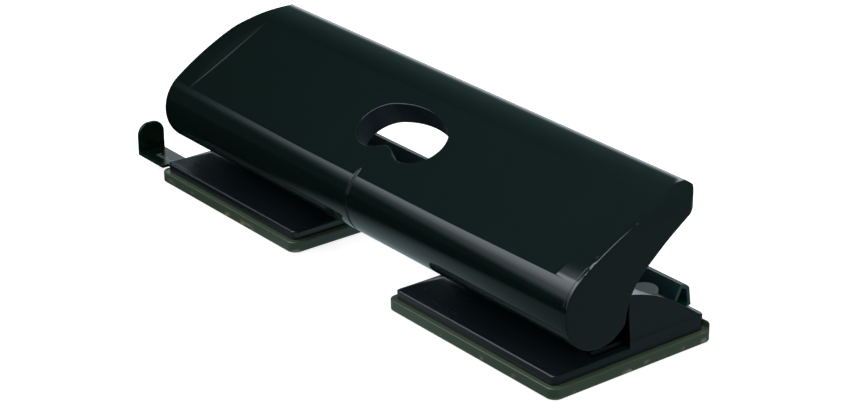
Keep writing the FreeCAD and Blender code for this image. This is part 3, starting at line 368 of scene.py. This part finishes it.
def softened(name):
    given = softEdges[name]
    form = merged(name)
    surface = BVHTree.FromBMesh(form)
    mesh = bpy.data.meshes.new(name + "_soft")
    mesh.materials.append(finishOf[name])
    limit = "ANGLE"
    # Faces inside hollows take the inside finish, with its painted light and shade
    if name in paintedInsideOf:
        markPaintedInside(form)
        mesh.materials.append(paintedInsideOf[name])
    if name == "handle_shell":
        weighHandle(form)
        limit = "WEIGHT"
    form.to_mesh(mesh)
    form.free()
    for polygon in mesh.polygons:
        polygon.use_smooth = True
    piece = bpy.data.objects.new(name + "_soft", mesh)
    bpy.context.scene.collection.objects.link(piece)
    bevel = piece.modifiers.new("roll", "BEVEL")
    bevel.width, bevel.segments = given["width"], rolling["steps"]
    bevel.limit_method, bevel.angle_limit = limit, math.radians(given["angle"])
    bevel.use_clamp_overlap = given["clamp"]
    bevel.miter_outer = "MITER_ARC"
    evened = piece.modifiers.new("even", "WEIGHTED_NORMAL")
    evened.keep_sharp = True
    applied(piece)
    keepClose(piece, surface, given["width"], *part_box(name))
    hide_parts(name)
    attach(piece, bodyOf[name])


for name in softEdges:
    softened(name)
print("edges rolled on", len(softEdges), "pieces")


# Pieces grown by geometry nodes. A tree's inputs take their kinds and first values from its settings

socketKinds = {int: "NodeSocketInt", float: "NodeSocketFloat", bpy.types.Material: "NodeSocketMaterial"}


def newGrowth(name, settings):
    tree = bpy.data.node_groups.new(name, "GeometryNodeTree")
    sockets = {}
    for label, setting in settings.items():
        socket = tree.interface.new_socket(label, in_out="INPUT", socket_type=socketKinds[type(setting)])
        socket.default_value = setting
        sockets[label] = socket.identifier
    tree.interface.new_socket("Geometry", in_out="OUTPUT", socket_type="NodeSocketGeometry")
    return tree, sockets, tree.nodes.new("NodeGroupInput").outputs


def endGrowth(tree, geometry, finish):
    real = addNode(tree, "GeometryNodeRealizeInstances", Geometry=geometry)
    painted = addNode(tree, "GeometryNodeSetMaterial", Geometry=real.outputs[0], Material=finish)
    addNode(tree, "NodeGroupOutput", Geometry=painted.outputs[0])


def grown(name, tree, sockets, settings, place):
    piece = bpy.data.objects.new(name, bpy.data.meshes.new(name))
    bpy.context.scene.collection.objects.link(piece)
    growth = piece.modifiers.new("growth", "NODES")
    growth.node_group = tree
    for label, setting in settings.items():
        growth[sockets[label]] = setting
    applied(piece)
    piece.data.transform(Matrix.Translation(place))
    return piece


# Return springs: wire wound in even turns, with the end turns closed down flat

spring = {"wire": 0.00035, "turns": 9.0, "closed": 0.14, "closedPitch": 2.02, "steps": 420, "sides": 10,
          "keep": 0.34}


def springSettings(node):
    low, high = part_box(node)
    return {"Wire Radius": spring["wire"], "Coil Radius": float(high[0] - low[0]) / 2 - spring["wire"],
            "Turns": spring["turns"], "Length": float(high[2] - low[2]), "Closed Share": spring["closed"],
            "Steps": spring["steps"], "Finish": slotFinish[slotOf[node]]}


def springTree():
    tree, sockets, given = newGrowth("springCoil", springSettings("return_spring_1"))
    wire, turns, closed = given["Wire Radius"], given["Turns"], given["Closed Share"]
    line = addNode(tree, "GeometryNodeMeshLine", Count=given["Steps"])
    index = addNode(tree, "GeometryNodeInputIndex").outputs[0]
    share = maths(tree, "DIVIDE", index, maths(tree, "SUBTRACT", given["Steps"], 1.0))
    angle = maths(tree, "MULTIPLY", share, maths(tree, "MULTIPLY", turns, 2 * math.pi))
    across = maths(tree, "MULTIPLY", maths(tree, "COSINE", angle), given["Coil Radius"])
    along = maths(tree, "MULTIPLY", maths(tree, "SINE", angle), given["Coil Radius"])
    opened = ramp(tree, share, closed, maths(tree, "SUBTRACT", 1.0, closed), 0.0, 1.0)
    pitch = maths(tree, "MULTIPLY", wire, spring["closedPitch"])
    wound = maths(tree, "MULTIPLY", maths(tree, "MULTIPLY", turns, share), pitch)
    room = maths(tree, "SUBTRACT", given["Length"], maths(tree, "MULTIPLY", wire, 2.0))
    rest = maths(tree, "SUBTRACT", room, maths(tree, "MULTIPLY", turns, pitch))
    height = maths(tree, "ADD", maths(tree, "ADD", wound, wire), maths(tree, "MULTIPLY", opened, rest))
    spot = addNode(tree, "ShaderNodeCombineXYZ", X=across, Y=along, Z=height)
    moved = addNode(tree, "GeometryNodeSetPosition", Geometry=line.outputs[0], Position=spot.outputs[0])
    curve = addNode(tree, "GeometryNodeMeshToCurve", Mesh=moved.outputs[0])
    section = addNode(tree, "GeometryNodeCurvePrimitiveCircle", Resolution=spring["sides"], Radius=wire)
    tube = addNode(tree, "GeometryNodeCurveToMesh", Curve=curve.outputs[0],
                   **{"Profile Curve": section.outputs[0], "Fill Caps": True})
    endGrowth(tree, tube.outputs[0], given["Finish"])
    return tree, sockets


def windSpring(number, tree, sockets):
    node = "return_spring_%d" % number
    low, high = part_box(node)
    foot = ((low[0] + high[0]) / 2, (low[1] + high[1]) / 2, low[2])
    piece = grown("spring_%d" % number, tree, sockets, springSettings(node), foot)
    piece.data.shade_smooth()
    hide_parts(node)
    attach(piece, "base")
    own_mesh(piece)


coilTree, coilSockets = springTree()
for number in (1, 2, 3, 4):
    windSpring(number, coilTree, coilSockets)
print("springs wound")


# Graduation marks near the left end of the guide's blade, every fifth one longer

marks = {"pitch": 0.001, "count": 26, "every": 5, "width": 0.00022, "short": 0.0016, "long": 0.0030,
         "height": 0.00003, "start": 0.0060, "edge": 0.0045, "levelFace": 0.99}


def markTree(settings):
    tree, sockets, given = newGrowth("graduation", settings)
    step = addNode(tree, "ShaderNodeCombineXYZ", X=given["Pitch"])
    line = addNode(tree, "GeometryNodeMeshLine", Count=given["Count"], Offset=step.outputs[0])
    index = addNode(tree, "GeometryNodeInputIndex").outputs[0]
    isLong = maths(tree, "LESS_THAN", maths(tree, "MODULO", index, given["Every"]), 0.5)
    reach = ramp(tree, isLong, 0.0, 1.0, given["Short"], given["Long"], "LINEAR")
    size = addNode(tree, "ShaderNodeCombineXYZ", X=given["Width"], Y=reach, Z=given["Height"])
    bar = addNode(tree, "GeometryNodeMeshCube", Size=(1.0, 1.0, 1.0))
    shifted = addNode(tree, "GeometryNodeTransform", Geometry=bar.outputs[0], Translation=(0.0, 0.5, 0.0))
    placed = addNode(tree, "GeometryNodeInstanceOnPoints", Points=line.outputs[0],
                     Instance=shifted.outputs[0], Scale=size.outputs[0])
    endGrowth(tree, placed.outputs[0], given["Finish"])
    return tree, sockets


def addMarks():
    form = merged("paper_guide")
    level = [face for face in form.faces if face.normal.z > marks["levelFace"]]
    top = max(level, key=lambda face: face.calc_area())
    left = min(vertex.co.x for vertex in top.verts)
    front = min(vertex.co.y for vertex in top.verts)
    place = (left + marks["start"], front + marks["edge"], top.verts[0].co.z)
    form.free()
    settings = {"Count": marks["count"], "Pitch": marks["pitch"], "Every": marks["every"],
                "Width": marks["width"], "Short": marks["short"], "Long": marks["long"],
                "Height": marks["height"], "Finish": plastic("markInk")}
    piece = grown("guide_marks", *markTree(settings), settings, place)
    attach(piece, "guide")


addMarks()
print("guide marked")


# Camera

view = {"place": (0.7352, -0.5671, 0.4298), "azimuth": 51.77, "elevation": 23.90, "roll": -0.14,
        "lens": 106.25, "sensor": 36.0, "nearest": 0.05, "farthest": 20.0}


def addCamera():
    across, up = math.radians(view["azimuth"]), math.radians(view["elevation"])
    back = Vector((math.sin(across) * math.cos(up), -math.cos(across) * math.cos(up), math.sin(up)))
    right = Vector((math.cos(across), math.sin(across), 0))
    above = back.cross(right)
    turn = Matrix.Rotation(math.radians(view["roll"]), 3, "Z")
    axes = Matrix((right, above, back)).transposed() @ turn
    data = bpy.data.cameras.new("camera")
    data.lens, data.sensor_width = view["lens"], view["sensor"]
    data.clip_start, data.clip_end = view["nearest"], view["farthest"]
    camera = bpy.data.objects.new("camera", data)
    camera.matrix_world = Matrix.Translation(Vector(view["place"])) @ axes.to_4x4()
    bpy.context.scene.collection.objects.link(camera)
    bpy.context.scene.camera = camera


addCamera()


# The room is white to the camera and lights the object evenly. What shines is seen in panels that only
# glossy rays meet: a key panel at the front left, a pale backdrop behind, and dim walls elsewhere.
# A heading is an azimuth and an elevation in degrees, and a fade is a range of the ray's X, Y or Z

room = {"light": 0.5, "right": 0.19, "left": 0.04, "roof": 0.16, "roofFade": (0.58, 0.76),
        "sideFade": (-0.2, 0.2), "dimTint": (0.55, 1.0, 0.95), "brightTint": (0.88, 1.0, 1.08),
        "tintRange": (0.2, 0.6)}
keyPanel = {"centre": (-142, 45), "leftEdge": ((-157, 38), (-162, 47)), "leftSoft": 0.06,
            "lowEdge": ((-152, 30), (-136, 15)), "lowSoft": 0.07, "rearFade": (-0.06, 0.04),
            "rightFade": (-0.15, 0.1), "heights": (0.38, 0.68), "low": 0.9, "high": 4.2}
backPanel = {"from": 112, "to": 152, "soft": 10, "foot": 10, "top": 40, "topFade": 0.8,
             "low": 1.7, "high": 0.1}


def heading(azimuth, elevation):
    across, up = math.radians(azimuth), math.radians(elevation)
    return Vector((math.cos(across) * math.cos(up), math.sin(across) * math.cos(up), math.sin(up)))


def edgeMask(tree, way, first, last, soft, inside):
    across = heading(*first).cross(heading(*last)).normalized()
    if across.dot(inside) < 0:
        across = -across
    reach = addNode(tree, "ShaderNodeVectorMath", {"operation": "DOT_PRODUCT"}, _0=way, _1=across)
    return ramp(tree, reach.outputs["Value"], -soft, soft, 0.0, 1.0)


def keyLight(tree, way, split):
    centre = heading(*keyPanel["centre"])
    return product(tree, edgeMask(tree, way, *keyPanel["leftEdge"], keyPanel["leftSoft"], centre),
                   edgeMask(tree, way, *keyPanel["lowEdge"], keyPanel["lowSoft"], centre),
                   ramp(tree, split["Y"], *keyPanel["rearFade"], 1.0, 0.0),
                   ramp(tree, split["X"], *keyPanel["rightFade"], 1.0, 0.0),
                   ramp(tree, split["Z"], *keyPanel["heights"], keyPanel["low"], keyPanel["high"], "LINEAR"))


def backLight(tree, split):
    turn = maths(tree, "ARCTAN2", split["Y"], split["X"])
    first, last, soft = (math.radians(backPanel[word]) for word in ("from", "to", "soft"))
    foot, top = (math.sin(math.radians(backPanel[word])) for word in ("foot", "top"))
    return product(tree, ramp(tree, turn, first - soft, first + soft, 0.0, 1.0),
                   ramp(tree, turn, last - soft, last + soft, 1.0, 0.0),
                   ramp(tree, split["Z"], foot, top, backPanel["low"], backPanel["high"], "LINEAR"),
                   ramp(tree, split["Z"], top, backPanel["topFade"], 1.0, 0.0))


def addRoom():
    world = bpy.data.worlds.new("room")
    world.use_nodes = True
    tree = world.node_tree
    tree.nodes.clear()
    output = tree.nodes.new("ShaderNodeOutputWorld")
    path = tree.nodes.new("ShaderNodeLightPath").outputs
    way = tree.nodes.new("ShaderNodeTexCoord").outputs["Generated"]
    split = addNode(tree, "ShaderNodeSeparateXYZ", Vector=way).outputs
    left = ramp(tree, split["Z"], *room["roofFade"], room["left"], room["roof"])
    walls = addNode(tree, "ShaderNodeMix", {"data_type": "FLOAT"}, _2=left, _3=room["right"],
                    _0=ramp(tree, split["X"], *room["sideFade"], 0.0, 1.0))
    panels = maths(tree, "ADD", keyLight(tree, way, split), backLight(tree, split))
    total = maths(tree, "ADD", panels, walls.outputs[0])
    share = ramp(tree, total, *room["tintRange"], 0.0, 1.0)
    tint = blended(tree, share, room["dimTint"], room["brightTint"])
    white = addNode(tree, "ShaderNodeBackground", Color=(1, 1, 1, 1), Strength=1.0)
    dim = addNode(tree, "ShaderNodeBackground", Color=(1, 1, 1, 1), Strength=room["light"])
    gloss = addNode(tree, "ShaderNodeBackground", Color=tint, Strength=total)
    lit = addNode(tree, "ShaderNodeMixShader", Fac=path["Is Glossy Ray"], _1=dim.outputs[0],
                  _2=gloss.outputs[0])
    seen = maths(tree, "MAXIMUM", path["Is Camera Ray"], path["Is Transmission Ray"])
    shown = addNode(tree, "ShaderNodeMixShader", Fac=seen, _1=lit.outputs[0], _2=white.outputs[0])
    connect(tree, shown.outputs[0], output.inputs["Surface"])
    bpy.context.scene.world = world


# The floor keeps the object's shadow and is nearly white to the camera. In reflections it is dim,
# paler close to the object and dark towards the front left

floor = {"half": 6.0, "gap": 0.0005, "colour": 0.7, "glow": 0.82, "nearShine": 0.5, "farShine": 0.17,
         "shineFade": (0.04, 0.12), "tint": (0.7, 0.95, 1.0), "darkWay": (-0.74, -0.67, 0),
         "darkFade": (0.02, 0.10)}


def addFloor():
    material = bpy.data.materials.new("paleFloor")
    material.use_nodes = True
    tree = material.node_tree
    tree.nodes.clear()
    output = tree.nodes.new("ShaderNodeOutputMaterial")
    path = tree.nodes.new("ShaderNodeLightPath").outputs
    plain = addNode(tree, "ShaderNodeBsdfDiffuse", Color=(floor["colour"],) * 3 + (1,))
    glow = addNode(tree, "ShaderNodeEmission", Color=(1, 1, 1, 1), Strength=floor["glow"])
    pale = addNode(tree, "ShaderNodeAddShader", _0=plain.outputs[0], _1=glow.outputs[0])
    clear = addNode(tree, "ShaderNodeEmission", Color=(1, 1, 1, 1), Strength=1.0)
    place = tree.nodes.new("ShaderNodeNewGeometry").outputs["Position"]
    across = addNode(tree, "ShaderNodeVectorMath", {"operation": "DOT_PRODUCT"}, _0=place,
                     _1=floor["darkWay"])
    away = addNode(tree, "ShaderNodeVectorMath", {"operation": "LENGTH"}, _0=place)
    near = ramp(tree, away.outputs["Value"], *floor["shineFade"], floor["nearShine"], floor["farShine"])
    shine = product(tree, near, ramp(tree, across.outputs["Value"], *floor["darkFade"], 1.0, 0.0))
    dim = addNode(tree, "ShaderNodeEmission", Color=floor["tint"] + (1,), Strength=shine)
    shown = plain
    for ray, shader in (("Is Camera Ray", pale), ("Is Transmission Ray", clear), ("Is Glossy Ray", dim)):
        shown = addNode(tree, "ShaderNodeMixShader", Fac=path[ray], _1=shown.outputs[0],
                        _2=shader.outputs[0])
    connect(tree, shown.outputs[0], output.inputs["Surface"])
    half, top = floor["half"], -floor["gap"]
    corners = [(-half, -half, top), (half, -half, top), (half, half, top), (-half, half, top)]
    mesh = bpy.data.meshes.new("floor")
    mesh.from_pydata(corners, [], [(0, 1, 2, 3)])
    mesh.materials.append(material)
    sheet = bpy.data.objects.new("floor", mesh)
    bpy.context.scene.collection.objects.link(sheet)


# Soft boxes that light the object and aren't mirrored in it

lamps = {
    "frontBox": {"place": (-0.95, -0.75, 0.80), "aim": (0, 0, 0.04), "size": (0.9, 0.5), "power": 6.0},
    "topBox": {"place": (0.15, 0.10, 1.30), "aim": (0, 0, 0), "size": (0.6, 0.6), "power": 4.0},
    "rightBox": {"place": (1.30, 0.15, 0.55), "aim": (0, 0, 0.03), "size": (0.5, 0.5), "power": 4.0},
}


def addLamps():
    for name, given in lamps.items():
        data = bpy.data.lights.new(name, "AREA")
        data.shape, data.energy = "RECTANGLE", given["power"]
        data.size, data.size_y = given["size"]
        lamp = bpy.data.objects.new(name, data)
        lamp.location = given["place"]
        aim = Vector(given["aim"]) - Vector(given["place"])
        lamp.rotation_euler = aim.to_track_quat("-Z", "Y").to_euler()
        lamp.visible_camera = False
        lamp.visible_glossy = False
        bpy.context.scene.collection.objects.link(lamp)


addRoom()
addFloor()
addLamps()
bpy.context.scene.view_settings.view_transform = "Standard"
print("stage ready")
